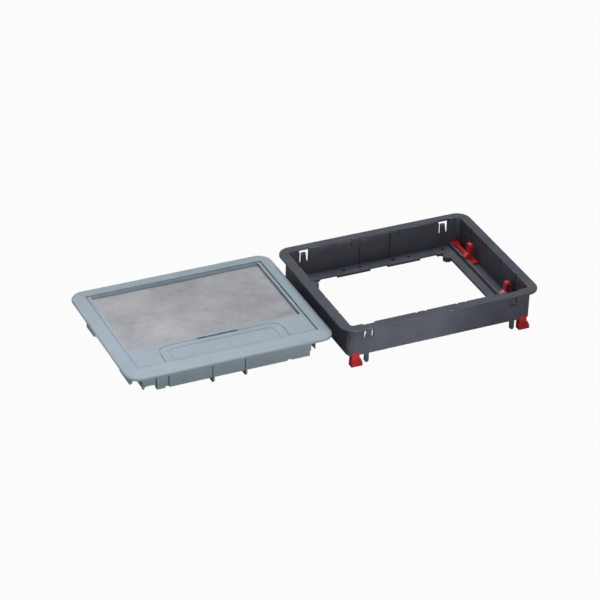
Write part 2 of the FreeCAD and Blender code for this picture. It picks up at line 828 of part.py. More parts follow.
def flap_well():
    """The place of the flap in the lid, down to the shelf that carries its back and side edges."""
    shelf = flap_low - flap_seat_gap
    place = Part.Face(flap_outline(flap_gap, shelf)).extrude(vector(0, 0, bezel_rise + over - shelf))
    front_gap = block(-flap_half_length - flap_gap, flap_half_length + flap_gap, flap_front - over,
                      flap_axis_y + flap_brow_radius + flap_gap, flap_axis_z - flap_brow_radius - flap_gap,
                      bezel_rise + over)
    return place.fuse(front_gap)


def flap_shelf():
    """The shelf under the flap's edges."""
    low = flap_low - flap_seat_gap - flap_seat_thick
    return Part.Face(flap_outline(flap_gap + lid_wall, low)).extrude(vector(0, 0, bezel_rise - low - over))


def cord_outlet():
    """The way for cords down through the lid, in front of and inside the shelf."""
    half = flap_half_length - flap_lip_width
    front = lid_wall - lid_half_y
    back = flap_back - flap_lip_width
    return block(-half, half, front, back, lid_low - over, bezel_rise + over)


def seal_holder():
    """The upright web behind the cord outlet, which carries the rear foam strip."""
    half = flap_half_length + lid_wall
    back = flap_back - flap_lip_width
    return block(-half, half, back, back + lid_wall, lid_low, flap_low - flap_gap)


def flap_pin_boss():
    """A block in the lid's front corner that takes a flap pin."""
    inner = flap_half_length + flap_gap
    return block(inner, inner + flap_pin_in_lid + over, -lid_half_y, flap_axis_y + flap_boss_back,
                 lid_low, bezel_rise)


def outlet_side_web():
    """The web at each end of the cord outlet."""
    inner = flap_half_length - flap_lip_width
    return block(inner, inner + lid_wall, lid_wall - lid_half_y, flap_back, lid_low, flap_low - flap_gap)


def catch_span():
    """Lowest and highest height of a catch bolt."""
    high = bezel_rise - lid_plate_thick - catch_roof_gap
    return high - catch_height, high


def catch_guides():
    """Two webs under the lid's front plate between which a catch bolt slides, and the spring's end stop."""
    half = catch_width / 2.0 + catch_clearance
    low, high = catch_span()
    rear = catch_rear() + catch_spring_room
    low -= catch_clearance
    left = block(catch_place - half - catch_cover_side, catch_place - half, lid_wall - lid_half_y - over,
                 rear + catch_pocket_wall, low, bezel_rise - lid_plate_thick + over)
    right = block(catch_place + half, catch_place + half + catch_cover_side, lid_wall - lid_half_y - over,
                  rear + catch_pocket_wall, low, bezel_rise - lid_plate_thick + over)
    stop = block(catch_place - half, catch_place + half, rear, rear + catch_pocket_wall, low,
                 bezel_rise - lid_plate_thick + over)
    return [left, right, stop]


def catch_rear():
    """The back end of a catch bolt at rest."""
    return catch_length - lid_half_y - lid_gap - catch_nose


def catch_window():
    """The window in the lid's front wall for a catch bolt."""
    half = catch_width / 2.0 + catch_clearance
    low, high = catch_span()
    return block(catch_place - half, catch_place + half, -lid_half_y - over, lid_wall - lid_half_y + over,
                 low - catch_clearance, high + catch_clearance)


def finger_slot():
    """The slot behind the flap's back edge, where a finger or a coin lifts the flap."""
    return block(-finger_slot_length / 2.0, finger_slot_length / 2.0, flap_back - over,
                 flap_back + finger_slot_width - flap_gap, bezel_rise - finger_slot_depth, bezel_rise + over)


def plate_screw_spots():
    """Places of the plate's screws, in rows along X."""
    half_x = lid_inner_x - plate_gap - plate_screw_from_edge
    front = recess_front + plate_gap + plate_screw_from_edge
    back = lid_inner_back - plate_gap - plate_screw_from_edge
    spots = []
    for column in range(plate_screw_columns):
        x = -half_x + 2.0 * half_x * column / (plate_screw_columns - 1)
        for row in range(plate_screw_rows):
            y = front + (back - front) * row / (plate_screw_rows - 1)
            spots.append((x, y))
    return spots


def plate_screw(x, y):
    """A countersunk screw from below, in the steel plate and the lid's floor."""
    low = floor_low - plate_thick
    head = Part.makeCone(plate_screw_head_radius, plate_screw_radius,
                         plate_screw_head_radius - plate_screw_radius, vector(x, y, low))
    shank = drum(plate_screw_radius, x, y, low, recess_low - plate_screw_cover)
    return head.fuse(shank).removeSplitter()


def catch_screw_spots():
    half = catch_width / 2.0 + catch_clearance + catch_cover_side / 2.0
    y = catch_rear() - catch_screw_from_rear
    return [(catch_place - half, y), (catch_place + half, y)]


def catch_cover_low():
    return catch_span()[0] - catch_clearance - catch_cover_thick


def catch_screw(x, y):
    low = catch_cover_low()
    head = drum(catch_screw_head_radius, x, y, low - catch_screw_head_height, low)
    shank = drum(catch_screw_radius, x, y, low, low + catch_cover_thick + catch_screw_in_web)
    return head.fuse(shank).removeSplitter()


def make_lid_frame():
    shelf = flap_shelf()
    front_limit = block(-lid_half_x, lid_half_x, -lid_half_y, recess_front, lid_low - over, bezel_rise)
    body = lid_shell().fuse([shelf.common(front_limit), seal_holder()] + on_both_sides(outlet_side_web())
                            + on_both_sides(flap_pin_boss())
                            + [copy for guide in catch_guides() for copy in on_both_sides(guide)])
    pin_bore = rod(flap_pin_radius, flap_half_length, flap_half_length + flap_gap + flap_pin_in_lid,
                   flap_axis_y, flap_axis_z)
    hinge_bore = rod(lid_pin_radius + running_fit, lid_half_x - lid_pin_in_lid - running_fit, lid_half_x + over,
                     lid_axis_y, lid_axis_z)
    cuts = [flap_well(), cord_outlet(), finger_slot()]
    cuts += on_both_sides(pin_bore) + on_both_sides(hinge_bore) + on_both_sides(catch_window())
    cuts += [plate_screw(x, y) for x, y in plate_screw_spots()]
    cuts += [copy for x, y in catch_screw_spots() for copy in on_both_sides(catch_screw(x, y))]
    return body.cut(cuts).removeSplitter()


def make_lid_stiffener_plate():
    half_x = lid_inner_x - plate_gap
    front = recess_front - lid_wall + plate_gap
    back = lid_inner_back - plate_gap
    plate = block(-half_x, half_x, front, back, floor_low - plate_thick, floor_low)
    return plate.cut([plate_screw(x, y) for x, y in plate_screw_spots()])


def make_plate_screws():
    return Part.makeCompound([plate_screw(x, y) for x, y in plate_screw_spots()])


def make_floor_inlay():
    return block(-recess_half_x + inlay_gap, recess_half_x - inlay_gap, recess_front + inlay_gap,
                 recess_back - inlay_gap, recess_low, recess_low + inlay_thick)


def make_lid_hinge_pin():
    return rod(lid_pin_radius, lid_half_x - lid_pin_in_lid, seam_half_x + lid_pin_in_rim, lid_axis_y,
               lid_axis_z)


def make_cord_flap():
    """The flap: a plate with a knuckle and a brow along its front, and a U groove that is open to the front."""
    plate = Part.Face(flap_outline(-flap_gap, flap_low)).extrude(vector(0, 0, flap_thick))
    front_cut = block(-flap_half_length, flap_half_length, flap_front - over, flap_axis_y, flap_low - over,
                      bezel_rise + over)
    half = flap_half_length - flap_gap
    knuckle = rod(flap_knuckle_radius, -half, half, flap_axis_y, flap_axis_z)
    corner = block(-half, half, flap_front, flap_axis_y, flap_axis_z, bezel_rise)
    brow = rod(flap_brow_radius, -half, half, flap_axis_y, flap_axis_z).common(corner)
    body = plate.cut(front_cut).fuse([knuckle, brow])
    pin_bore = rod(flap_pin_radius + running_fit, half - flap_pin_in_flap, half + over, flap_axis_y,
                   flap_axis_z)
    half_slot = finger_slot_length / 2.0
    slot = block(-half_slot, half_slot, flap_back - flap_gap - finger_notch, flap_back + over,
                 flap_low - over, bezel_rise + over)
    return body.cut([u_groove(), slot] + on_both_sides(pin_bore)).removeSplitter()


def u_groove():
    """The groove along the flap's sides and back."""
    z = bezel_rise - flap_groove_depth
    outer = groove_side(0.0, z)
    inner = groove_side(flap_groove_width, z)
    return outer.cut(inner)


def groove_side(inset, z):
    half = flap_half_length - flap_groove_inset - inset
    back = flap_back - flap_groove_back - inset
    front = flap_axis_y + flap_knuckle_radius
    radius = flap_groove_corner - inset
    plate = block(-half, half, front, back, z, bezel_rise + over)
    upright = [edge for edge in plate.Edges
               if edge.BoundBox.ZLength > flap_groove_depth and edge.BoundBox.YMin > back - 0.001]
    return plate.makeFillet(radius, upright)


def make_flap_hinge_pin():
    half = flap_half_length - flap_gap
    return rod(flap_pin_radius, half - flap_pin_in_flap + running_fit,
               flap_half_length + flap_gap + flap_pin_in_lid, flap_axis_y, flap_axis_z)


def make_cord_seal(front):
    half = flap_half_length - flap_lip_width - cord_seal_end_gap
    low = lid_low
    y = lid_wall - lid_half_y
    if not front:
        y = flap_back - flap_lip_width - cord_seal_thick
    return block(-half, half, y, y + cord_seal_thick, low, low + cord_seal_height)


def make_lid_catch():
    """A catch bolt with a nose that is cut back below, so that the closing lid pushes it in."""
    low, high = catch_span()
    tip = catch_rear() - catch_length
    left = catch_place - catch_width / 2.0
    return prism([vector(left, tip, high), vector(left, tip, high - catch_nose_land),
                  vector(left, tip + catch_nose, low), vector(left, catch_rear(), low),
                  vector(left, catch_rear(), high)], vector(catch_width, 0, 0))


def make_catch_spring():
    """A serpentine strip of spring steel between the bolt and its end stop."""
    low, high = catch_span()
    half_strip = catch_spring_strip / 2.0
    pitch = (catch_spring_room - catch_spring_strip) / catch_spring_turns
    bends = []
    for turn in range(catch_spring_turns + 1):
        side = catch_spring_reach if turn % 2 else -catch_spring_reach
        bends.append(vector(catch_place + side, catch_rear() + half_strip + pitch * turn, low))
    pieces = [drum(half_strip, bend.x, bend.y, low, high) for bend in bends]
    for start, end in zip(bends, bends[1:]):
        run = end - start
        aside = vector(-run.y, run.x, 0).normalize() * half_strip
        pieces.append(prism([start + aside, end + aside, end - aside, start - aside],
                            vector(0, 0, high - low)))
    return joined(pieces)


def make_catch_cover():
    """The plate under a catch bolt and its spring, held by two screws."""
    half = catch_width / 2.0 + catch_clearance + catch_cover_side
    high = catch_span()[0] - catch_clearance
    rear = catch_rear() + catch_spring_room + catch_pocket_wall
    plate = block(catch_place - half, catch_place + half, lid_wall - lid_half_y + plate_gap, rear,
                  high - catch_cover_thick, high)
    return plate.cut([catch_screw(x, y) for x, y in catch_screw_spots()])


def make_catch_cover_screws():
    screws = [catch_screw(x, y) for x, y in catch_screw_spots()]
    return Part.makeCompound([copy for screw in screws for copy in on_both_sides(screw)])


def write(name, shape, shift_x, shift_y, height):
    """Place a piece of a unit on the floor and write it."""
    placed = shape.copy()
    placed.translate(vector(shift_x, shift_y, height))
    placed.exportStep("parts/" + name + ".step")
    volume = sum(solid.Volume for solid in placed.Solids)
    print(name, len(placed.Solids), placed.isValid(), round(volume, 1))


def write_frame_piece(name, shape):
    write(name, shape, unit_shift, -unit_stagger / 2.0, frame_height)


def write_cover_piece(name, shape):
    write(name, shape, -unit_shift, unit_stagger / 2.0, cover_height)


os.makedirs("parts", exist_ok=True)

write_frame_piece("mounting_frame", make_mounting_frame())
write_frame_piece("frame_gasket", make_frame_gasket())
back_right_claw = make_claw()
write_frame_piece("claw_back_right", back_right_claw)
write_frame_piece("claw_back_left", mirror_x(back_right_claw))
write_frame_piece("claw_front_right", mirror_y(back_right_claw))
write_frame_piece("claw_front_left", mirror_x(mirror_y(back_right_claw)))

write_cover_piece("cover_frame", make_cover_frame())
write_cover_piece("lid_buffers", make_lid_buffers())
write_cover_piece("lid_frame", make_lid_frame())
write_cover_piece("lid_stiffener_plate", make_lid_stiffener_plate())
write_cover_piece("plate_screws", make_plate_screws())
write_cover_piece("floor_inlay", make_floor_inlay())
write_cover_piece("cord_flap", make_cord_flap())
write_cover_piece("cord_seal_front", make_cord_seal(True))
write_cover_piece("cord_seal_rear", make_cord_seal(False))
write_cover_piece("catch_cover_screws", make_catch_cover_screws())
for make, stem in ((make_lid_hinge_pin, "lid_hinge_pin"), (make_flap_hinge_pin, "flap_hinge_pin"),
                   (make_lid_catch, "lid_catch"), (make_catch_spring, "lid_catch_spring"),
                   (make_catch_cover, "catch_cover")):
    right = make()
    write_cover_piece(stem + "_right", right)
    write_cover_piece(stem + "_left", mirror_x(right))
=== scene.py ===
"""Floor socket box, seen as two loose units: a grey-blue cover unit and an anthracite mounting frame."""
import math

import bmesh
import bpy
from bpy.props import FloatProperty
from bpy.props import FloatVectorProperty
from bpy.props import IntProperty
from bpy.props import PointerProperty
from mathutils import Matrix
from mathutils import Vector


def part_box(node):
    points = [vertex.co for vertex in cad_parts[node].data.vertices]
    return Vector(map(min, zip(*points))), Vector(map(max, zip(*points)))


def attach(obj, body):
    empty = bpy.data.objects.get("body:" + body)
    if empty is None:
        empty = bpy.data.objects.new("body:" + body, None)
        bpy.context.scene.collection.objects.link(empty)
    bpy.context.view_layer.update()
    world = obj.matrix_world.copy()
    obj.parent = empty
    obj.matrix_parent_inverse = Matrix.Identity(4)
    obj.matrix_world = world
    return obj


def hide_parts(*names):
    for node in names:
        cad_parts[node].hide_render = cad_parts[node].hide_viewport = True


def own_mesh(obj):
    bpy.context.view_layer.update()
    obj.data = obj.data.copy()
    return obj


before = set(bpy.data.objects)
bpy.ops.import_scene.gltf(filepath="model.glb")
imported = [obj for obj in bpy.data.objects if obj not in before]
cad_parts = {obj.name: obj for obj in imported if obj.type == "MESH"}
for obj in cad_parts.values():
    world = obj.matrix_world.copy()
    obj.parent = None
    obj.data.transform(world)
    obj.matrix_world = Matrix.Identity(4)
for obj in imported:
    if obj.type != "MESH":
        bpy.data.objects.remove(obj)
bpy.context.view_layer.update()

bl_info = {
    "name": "Floor socket box",
    "version": (1, 0, 0),
    "blender": (4, 5, 0),
    "location": "View3D > Sidebar > Socket box",
    "description": "Finishes, fasteners and stage of a floor socket box",
    "category": "Object",
}

MM = 0.001
MERGE_DISTANCE = 0.002 * MM
SHARP_EDGE_ANGLE = math.radians(40.0)

# Shape of a screw's cross recess, as shares of the head's radius
RECESS_ARM = 0.5
RECESS_HALF_WIDTH = 0.13
RECESS_FLOOR_SHARE = 0.55
RECESS_DEPTH = 0.45
TURN_FROM_SCREW_TO_SCREW = 0.7

PLATE_SCREW_COLUMNS = 3
PLATE_SCREW_ROWS = 2
PLATE_SCREW_MARGIN = 0.1 * MM

# Broad lamps: name, place, side of the square and the property that holds the level
LAMPS = (
    ("key_lamp", (0.3, 0.35, 2.2), 1.3, "key_level"),
    ("front_lamp", (-0.1, -1.2, 0.22), 0.5, "front_level"),
    ("back_lamp", (-1.0, 1.9, 1.5), 0.9, "back_level"),
)

# Gridded lamps: name, place, the point each is aimed at and the property that holds the power
BEAMS = (
    ("wall_lamp", (0.085, -1.2, 0.06), (0.085, -0.11, 0.02), "wall_power"),
    ("side_lamp", (-1.3, 0.1, 0.9), (-0.19, 0.0, 0.03), "side_power"),
)
BEAM_SIZE = 0.08
BEAM_SPREAD = math.radians(12.0)

FLOOR_DROP = 0.0002
FLOOR_SHADE = 0.34
FLOOR_WHITE_SHARE = 0.96
SENSOR_WIDTH = 36.0
CAMERA_REACH = 50.0
WHITE = (1.0, 1.0, 1.0, 1.0)


def screen_colour(red, green, blue):
    """The linear colour of a screen colour given in steps of 0 to 255."""
    linear = []
    for step in (red, green, blue):
        share = step / 255.0
        if share <= 0.04045:
            linear.append(share / 12.92)
        else:
            linear.append(((share + 0.055) / 1.055) ** 2.4)
    return tuple(linear)


class SocketBoxSizes(bpy.types.PropertyGroup):
    """Sizes of the pieces that are made here, in metres."""

    edge_round: FloatProperty(
        name="Edge rounding",
        description="Width of the rounding along the sharp edges of frame, claws and soft pieces",
        default=0.35 * MM,
        min=0.0,
        unit="LENGTH",
    )
    cover_edge_round: FloatProperty(
        name="Cover edge rounding",
        description="Width of the rounding along the sharp edges of cover, lid and cord flap",
        default=0.2 * MM,
        min=0.0,
        unit="LENGTH",
    )
    sheet_edge_round: FloatProperty(
        name="Sheet edge rounding",
        description="Width of the rounding along the edges of steel sheet and small pieces",
        default=0.15 * MM,
        min=0.0,
        unit="LENGTH",
    )
    plate_screw_head: FloatProperty(
        name="Plate screw head",
        description="Radius of the countersunk heads that hold the stiffening plate",
        default=2.8 * MM,
        min=0.001,
        unit="LENGTH",
    )
    plate_screw_shank: FloatProperty(
        name="Plate screw shank",
        description="Radius of the shanks of the plate's screws",
        default=1.4 * MM,
        min=0.0005,
        unit="LENGTH",
    )
    catch_screw_head: FloatProperty(
        name="Catch screw head",
        description="Radius of the pan heads that hold the catch covers",
        default=2.0 * MM,
        min=0.001,
        unit="LENGTH",
    )
    catch_screw_shank: FloatProperty(
        name="Catch screw shank",
        description="Radius of the shanks of the catch covers' screws",
        default=1.0 * MM,
        min=0.0005,
        unit="LENGTH",
    )
    screw_sides: IntProperty(
        name="Screw sides",
        description="Number of faces round a screw head",
        default=24,
        min=12,
    )
    grain_pitch: FloatProperty(
        name="Grain pitch",
        description="Spacing of the fine grain that the mould leaves on the plastic",
        default=0.7 * MM,
        min=0.0001,
        unit="LENGTH",
    )


class SocketBoxColours(bpy.types.PropertyGroup):
    """Colours of the finishes."""

    cover: FloatVectorProperty(
        name="Cover plastic",
        description="Grey-blue plastic of the cover, the lid and the cord flap",
        default=screen_colour(155, 170, 180),
        size=3,
        subtype="COLOR",
    )
    mounting: FloatVectorProperty(
        name="Frame plastic",
        description="Anthracite plastic of the mounting frame",
        default=screen_colour(77, 81, 91),
        size=3,
        subtype="COLOR",
    )
    claw: FloatVectorProperty(
        name="Claw plastic",
        description="Red plastic of the sliding claws",
        default=screen_colour(206, 30, 34),
        size=3,
        subtype="COLOR",
    )
    zinc: FloatVectorProperty(
        name="Zinc",
        description="Zinc coating of the sheet steel",
        default=screen_colour(160, 162, 167),
        size=3,
        subtype="COLOR",
    )
    tarnish: FloatVectorProperty(
        name="Tarnish",
        description="Paler and faintly warmer patches on the zinc coating",
        default=screen_colour(191, 190, 195),
        size=3,
        subtype="COLOR",
    )
    bright: FloatVectorProperty(
        name="Bright steel",
        description="Plated steel of screws, pins and springs",
        default=screen_colour(205, 206, 208),
        size=3,
        subtype="COLOR",
    )
    rubber: FloatVectorProperty(
        name="Foam rubber",
        description="Black foam and rubber of seals, gasket and buffers",
        default=screen_colour(38, 38, 39),
        size=3,
        subtype="COLOR",
    )
    catch: FloatVectorProperty(
        name="Catch plastic",
        description="Dark grey plastic of the catch bolts",
        default=screen_colour(70, 72, 76),
        size=3,
        subtype="COLOR",
    )


class SocketBoxStage(bpy.types.PropertyGroup):
    """Camera, lamps and floor."""

    camera_turn: FloatProperty(
        name="Camera turn",
        description="Angle of the camera round the upright axis",
        default=math.radians(-25.18),
        subtype="ANGLE",
    )
    camera_height: FloatProperty(
        name="Camera height",
        description="Angle of the camera above the floor",
        default=math.radians(31.575),
        subtype="ANGLE",
    )
    camera_roll: FloatProperty(
        name="Camera roll",
        description="Turn of the camera about its own line of sight",
        default=math.radians(1.782),
        subtype="ANGLE",
    )
    camera_distance: FloatProperty(
        name="Camera distance",
        description="Distance from the camera to the point it looks at",
        default=3.19,
        unit="LENGTH",
    )
    camera_aim: FloatVectorProperty(
        name="Camera aim",
        description="Point in the middle of the picture",
        default=(-0.0041, 0.0044, 0.0310),
        size=3,
        subtype="TRANSLATION",
    )
    camera_lens: FloatProperty(
        name="Camera lens",
        description="Focal length in millimetres on a sensor 36 mm wide",
        default=164.5,
        min=1.0,
    )
    key_level: FloatProperty(
        name="Key lamp",
        description="Light of the key lamp on a surface that faces it, as a share of full white",
        default=0.82,
        min=0.0,
    )
    front_level: FloatProperty(
        name="Front lamp",
        description="Light of the low lamp in front, as a share of full white",
        default=0.37,
        min=0.0,
    )
    wall_power: FloatProperty(
        name="Wall lamp",
        description="Power in watts of the gridded lamp that is aimed at the frame's front wall",
        default=0.038,
        min=0.0,
    )
    back_level: FloatProperty(
        name="Back lamp",
        description="Light of the lamp behind the object, as a share of full white",
        default=0.14,
        min=0.0,
    )
    side_power: FloatProperty(
        name="Side lamp",
        description="Power in watts of the gridded lamp that is aimed at the cover from the left",
        default=0.045,
        min=0.0,
    )
    room_level: FloatProperty(
        name="Room light",
        description="Even light from all round, as a share of full white",
        default=0.05,
        min=0.0,
    )
    floor_size: FloatProperty(
        name="Floor size",
        description="Side of the square floor",
        default=8.0,
        unit="LENGTH",
    )


def new_group(name, inputs, outputs):
    """A shader node group with named inputs and outputs, and its two end nodes."""
    group = bpy.data.node_groups.new(name, "ShaderNodeTree")
    for label, kind, value in inputs:
        socket = group.interface.new_socket(label, in_out="INPUT", socket_type=kind)
        socket.default_value = value
    for label, kind in outputs:
        group.interface.new_socket(label, in_out="OUTPUT", socket_type=kind)
    start = group.nodes.new("NodeGroupInput")
    end = group.nodes.new("NodeGroupOutput")
    return group, start, end


def add_node(tree, kind, values=None, **settings):
    """A node in the tree, with settings on the node and values on its inputs."""
    made = tree.nodes.new(kind)
    for name, value in settings.items():
        setattr(made, name, value)
    for name, value in (values or {}).items():
        made.inputs[name].default_value = value
    return made


def grain_group():
    """Fine pits of a spark-eroded mould, and slow changes of gloss over the surface."""
    group, start, end = new_group(
        "mould_grain",
        (("Vector", "NodeSocketVector", (0.0, 0.0, 0.0)), ("Grain per Metre", "NodeSocketFloat", 1400.0)),
        (("Height", "NodeSocketFloat"), ("Gloss", "NodeSocketFloat")),
    )
    fine = add_node(group, "ShaderNodeTexNoise", {"Detail": 2.0, "Roughness": 0.6})
    slow = add_node(group, "ShaderNodeTexNoise", {"Scale": 38.0, "Detail": 3.0, "Roughness": 0.55})
    spread = add_node(group, "ShaderNodeMapRange", {"From Min": 0.32, "From Max": 0.68})
    link = group.links.new
    link(start.outputs["Vector"], fine.inputs["Vector"])
    link(start.outputs["Grain per Metre"], fine.inputs["Scale"])
    link(start.outputs["Vector"], slow.inputs["Vector"])
    link(slow.outputs["Fac"], spread.inputs["Value"])
    link(fine.outputs["Fac"], end.inputs["Height"])
    link(spread.outputs["Result"], end.inputs["Gloss"])
    return group


def streak_group():
    """Cloudy bands drawn out along one direction, as rolling and zinc coating leave them."""
    group, start, end = new_group(
        "rolled_streaks",
        (
            ("Vector", "NodeSocketVector", (0.0, 0.0, 0.0)),
            ("Stretch", "NodeSocketVector", (8.0, 40.0, 40.0)),
            ("Detail", "NodeSocketFloat", 4.0),
        ),
        (("Mask", "NodeSocketFloat"), ("Fine", "NodeSocketFloat")),
    )
    stretched = add_node(group, "ShaderNodeVectorMath", operation="MULTIPLY")
    cloud = add_node(group, "ShaderNodeTexNoise", {"Scale": 1.0, "Roughness": 0.68, "Distortion": 0.1})
    fine = add_node(group, "ShaderNodeTexNoise", {"Scale": 9.0, "Detail": 3.0, "Roughness": 0.6})
    spread = add_node(group, "ShaderNodeMapRange", {"From Min": 0.3, "From Max": 0.7})
    link = group.links.new
    link(start.outputs["Vector"], stretched.inputs[0])
    link(start.outputs["Stretch"], stretched.inputs[1])
    link(stretched.outputs["Vector"], cloud.inputs["Vector"])
    link(start.outputs["Detail"], cloud.inputs["Detail"])
    link(stretched.outputs["Vector"], fine.inputs["Vector"])
    link(cloud.outputs["Fac"], spread.inputs["Value"])
    link(spread.outputs["Result"], end.inputs["Mask"])
    link(fine.outputs["Fac"], end.inputs["Fine"])
    return group


def dust_and_highlight_group():
    """Dust strongest on surfaces that face up, in soft uneven patches; on the red claws this paler tone is
    also a painted highlight on their tops.
    """
    group, start, end = new_group(
        "settled_dust",
        (
            ("Vector", "NodeSocketVector", (0.0, 0.0, 0.0)),
            ("Amount", "NodeSocketFloat", 0.1),
        ),
        (("Mask", "NodeSocketFloat"),),
    )
    facing = add_node(group, "ShaderNodeNewGeometry")
    parts = add_node(group, "ShaderNodeSeparateXYZ")
    upward = add_node(group, "ShaderNodeMapRange", {"From Min": 0.2, "From Max": 1.0})
    patches = add_node(group, "ShaderNodeTexNoise", {"Scale": 22.0, "Detail": 5.0, "Roughness": 0.65})
    spread = add_node(group, "ShaderNodeMapRange", {"From Min": 0.4, "From Max": 0.75})
    both = add_node(group, "ShaderNodeMath", operation="MULTIPLY")
    scaled = add_node(group, "ShaderNodeMath", operation="MULTIPLY")
    link = group.links.new
    link(facing.outputs["Normal"], parts.inputs["Vector"])
    link(parts.outputs["Z"], upward.inputs["Value"])
    link(start.outputs["Vector"], patches.inputs["Vector"])
    link(patches.outputs["Fac"], spread.inputs["Value"])
    link(upward.outputs["Result"], both.inputs[0])
    link(spread.outputs["Result"], both.inputs[1])
    link(both.outputs["Value"], scaled.inputs[0])
    link(start.outputs["Amount"], scaled.inputs[1])
    link(scaled.outputs["Value"], end.inputs["Mask"])
    return group


def scratch_group():
    """Hairline marks of handling, in two directions and broken into short runs."""
    group, start, end = new_group(
        "handling_marks",
        (("Vector", "NodeSocketVector", (0.0, 0.0, 0.0)), ("Amount", "NodeSocketFloat", 0.3)),
        (("Mask", "NodeSocketFloat"),),
    )
    link = group.links.new
    masks = []
    for turn, stretch in ((0.35, (12.0, 900.0, 300.0)), (-1.1, (16.0, 760.0, 260.0))):
        turned = add_node(group, "ShaderNodeMapping", {"Rotation": (0.0, 0.0, turn), "Scale": stretch})
        lines = add_node(group, "ShaderNodeTexNoise", {"Scale": 1.0, "Detail": 1.0, "Roughness": 0.5})
        thin = add_node(group, "ShaderNodeMapRange", {"From Min": 0.7, "From Max": 0.76})
        link(start.outputs["Vector"], turned.inputs["Vector"])
        link(turned.outputs["Vector"], lines.inputs["Vector"])
        link(lines.outputs["Fac"], thin.inputs["Value"])
        masks.append(thin)
    patches = add_node(group, "ShaderNodeTexNoise", {"Scale": 26.0, "Detail": 2.0})
    broken = add_node(group, "ShaderNodeMapRange", {"From Min": 0.48, "From Max": 0.62})
    either = add_node(group, "ShaderNodeMath", operation="MAXIMUM")
    kept = add_node(group, "ShaderNodeMath", operation="MULTIPLY")
    scaled = add_node(group, "ShaderNodeMath", operation="MULTIPLY")
    link(start.outputs["Vector"], patches.inputs["Vector"])
    link(patches.outputs["Fac"], broken.inputs["Value"])
    link(masks[0].outputs["Result"], either.inputs[0])
    link(masks[1].outputs["Result"], either.inputs[1])
    link(either.outputs["Value"], kept.inputs[0])
    link(broken.outputs["Result"], kept.inputs[1])
    link(kept.outputs["Value"], scaled.inputs[0])
    link(start.outputs["Amount"], scaled.inputs[1])
    link(scaled.outputs["Value"], end.inputs["Mask"])
    return group


def shared(name, maker):
    """The node group of that name, made the first time it is asked for."""
    found = bpy.data.node_groups.get(name)
    if found is None:
        found = maker()
    return found


def place_group(tree, group, coordinates, values=None):
    """One use of a shared node group in a material, fed with the object's coordinates."""
    used = tree.nodes.new("ShaderNodeGroup")
    used.node_tree = group
    tree.links.new(coordinates, used.inputs["Vector"])
    for name, value in (values or {}).items():
        used.inputs[name].default_value = value
    return used


def blank_material(name, metallic=0.0):
    """A material with one surface shader, and the object's coordinates for its patterns."""
    material = bpy.data.materials.new(name)
    material.use_nodes = True
    tree = material.node_tree
    tree.nodes.clear()
    shader = add_node(tree, "ShaderNodeBsdfPrincipled", {"Metallic": metallic})
    output = tree.nodes.new("ShaderNodeOutputMaterial")
    tree.links.new(shader.outputs["BSDF"], output.inputs["Surface"])
    coordinates = tree.nodes.new("ShaderNodeTexCoord").outputs["Object"]
    return material, tree, shader, coordinates


def mix_colours(tree, mask, first, second):
    """A mix of two colours by a mask. A colour is a value or a socket."""
    mixed = add_node(tree, "ShaderNodeMix", data_type="RGBA")
    tree.links.new(mask, mixed.inputs["Factor"])
    for socket, colour in ((mixed.inputs[6], first), (mixed.inputs[7], second)):
        if isinstance(colour, bpy.types.NodeSocket):
            tree.links.new(colour, socket)
        else:
            socket.default_value = (*colour, 1.0)
    return mixed.outputs[2]


def drive_roughness(tree, shader, mask, low, high):
    """Roughness between two values, by a mask."""
    spread = add_node(tree, "ShaderNodeMapRange", {"To Min": low, "To Max": high})
    tree.links.new(mask, spread.inputs["Value"])
    tree.links.new(spread.outputs["Result"], shader.inputs["Roughness"])


def drive_bump(tree, shader, height, depth, strength):
    """A bump of the given depth, in metres, on the shader's normal."""
    bump = add_node(tree, "ShaderNodeBump", {"Distance": depth, "Strength": strength})
    tree.links.new(height, bump.inputs["Height"])
    tree.links.new(bump.outputs["Normal"], shader.inputs["Normal"])


def lighter(colour, share):
    """The colour mixed towards white by a share."""
    return tuple(part + (1.0 - part) * share for part in colour)


def darker(colour, share):
    """The colour mixed towards black by a share."""
    return tuple(part * (1.0 - share) for part in colour)


def moulded_plastic(name, colour, grain_pitch, roughness, dust, shine):
    """Fine-grained moulded plastic with a little dust and faint handling marks."""
    material, tree, shader, place = blank_material(name)
    shader.inputs["Specular IOR Level"].default_value = shine
    grain = place_group(tree, shared("mould_grain", grain_group), place,
                        {"Grain per Metre": 1.0 / grain_pitch})
    dust_and_highlight_mask = place_group(tree, shared("settled_dust", dust_and_highlight_group), place, {"Amount": dust})
    marks = place_group(tree, shared("handling_marks", scratch_group), place, {"Amount": 0.25})
    cloudy = mix_colours(tree, grain.outputs["Gloss"], darker(colour, 0.05), lighter(colour, 0.02))
    marked = mix_colours(tree, marks.outputs["Mask"], cloudy, lighter(colour, 0.25))
    dust_and_highlight_colour = mix_colours(tree, dust_and_highlight_mask.outputs["Mask"], marked, lighter(colour, 0.45))
    tree.links.new(dust_and_highlight_colour, shader.inputs["Base Color"])
    drive_roughness(tree, shader, grain.outputs["Gloss"], low=roughness - 0.05, high=roughness + 0.05)
    drive_bump(tree, shader, grain.outputs["Height"], depth=0.06 * MM, strength=0.5)
    return material


